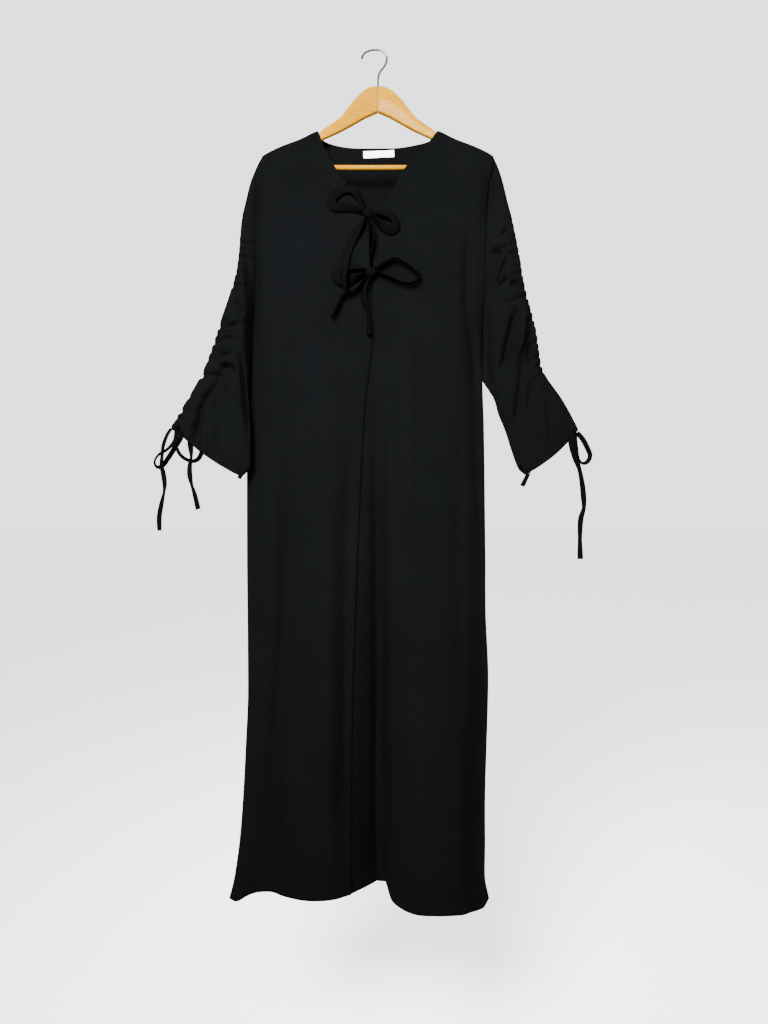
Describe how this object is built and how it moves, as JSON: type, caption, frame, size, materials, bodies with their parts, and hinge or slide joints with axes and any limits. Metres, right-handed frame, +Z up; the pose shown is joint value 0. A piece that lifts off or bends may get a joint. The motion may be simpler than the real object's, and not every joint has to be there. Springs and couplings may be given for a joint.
{
  "type": "kimono on hanger",
  "caption": "Long open-front kimono with drawstring-gathered sleeves, tied with two tape bows, on a wooden hanger with a wire hook.",
  "frame": {"origin": "inside top of the hanger's hook, where a peg or rail carries it", "axes": "+Z up, -Y out of the garment's front towards the viewer, +X to the viewer's right"},
  "size_m": [0.7858, 0.1173, 1.5848],
  "materials": {
    "crepe": "matt black crepe",
    "tape": "black woven tape",
    "label": "plain white woven label",
    "wood": "clear-varnished pale wood",
    "wire": "chromed steel wire"
  },
  "bodies": {
    "root": {"back": "crepe", "front_left": "crepe", "front_right": "crepe", "sleeve_left": "crepe", "sleeve_right": "crepe", "neck_label": "label", "upper_bow_knot": "tape", "upper_bow_loop_left": "tape", "upper_bow_loop_right": "tape", "upper_bow_tail_left": "tape", "upper_bow_tail_right": "tape", "lower_bow_knot": "tape", "lower_bow_loop_left": "tape", "lower_bow_loop_right": "tape", "lower_bow_tail_left": "tape", "lower_bow_tail_right": "tape", "left_cuff_knot": "tape", "left_cuff_strand": "tape", "left_cuff_loop": "tape", "left_cuff_drawn_loop": "tape", "left_cuff_tail": "tape", "left_corner_knot": "tape", "right_cuff_knot": "tape", "right_cuff_loop": "tape", "right_cuff_tail": "tape", "right_corner_knot": "tape", "right_corner_end": "tape", "right_corner_loop": "tape", "hanger_left": "wood", "hanger_right": "wood", "hanger_bar": "wood", "hanger_hook": "wire"}
  },
  "joints": []
}
